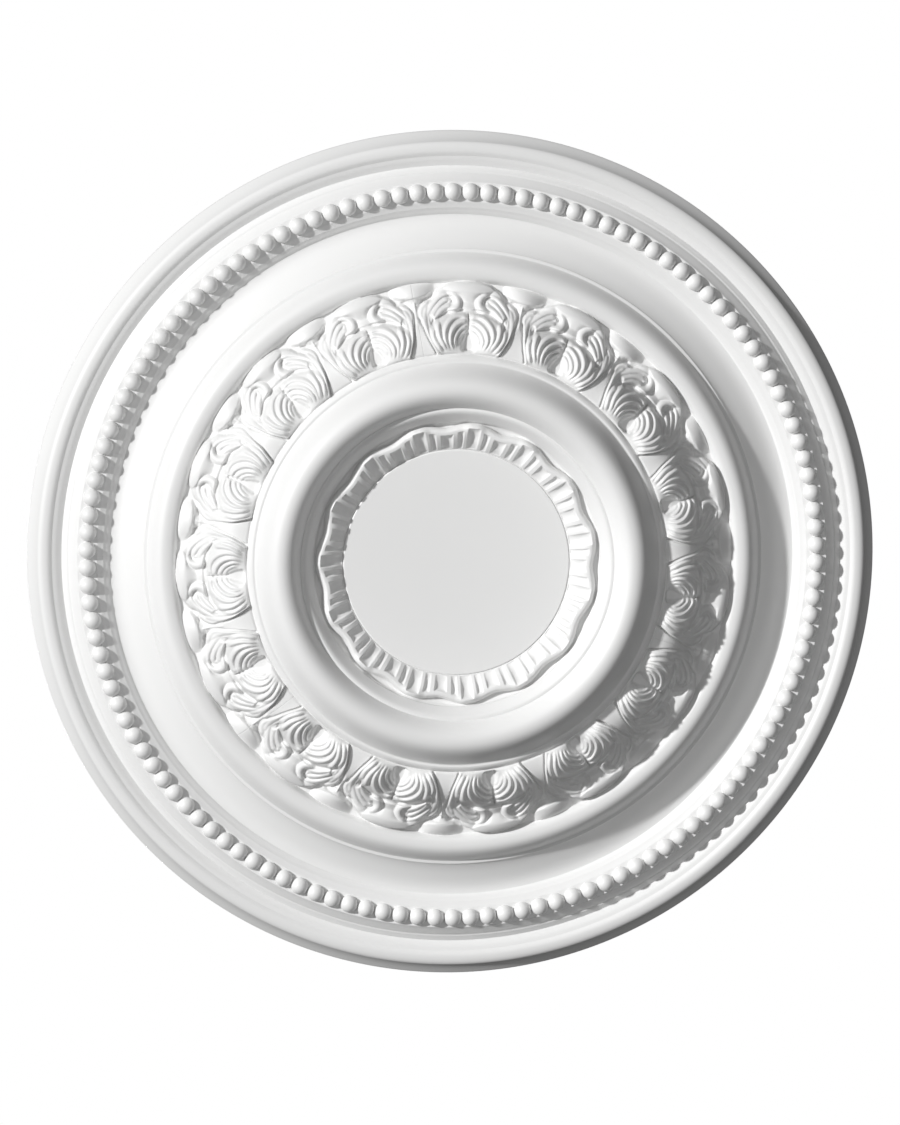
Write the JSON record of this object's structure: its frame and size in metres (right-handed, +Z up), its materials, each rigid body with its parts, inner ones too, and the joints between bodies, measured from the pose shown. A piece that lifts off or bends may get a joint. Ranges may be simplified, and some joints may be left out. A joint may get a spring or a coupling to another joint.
{
  "type": "ceiling rose",
  "caption": "Round white cast ceiling rose with a beaded rim, an acanthus leaf band, a great roll and small hooded leaves round a plain centre disc.",
  "frame": {"origin": "centre of the flat back, where the rose is bonded to the ceiling", "axes": "+Z up, out of the flat back into the ceiling; the ornament faces -Z; +Y is the top of the pattern as seen from below"},
  "size_m": [0.61, 0.61, 0.086],
  "materials": {
    "rose": "matt white primed casting"
  },
  "bodies": {
    "root": {"ceiling_rose": "rose"}
  },
  "joints": []
}
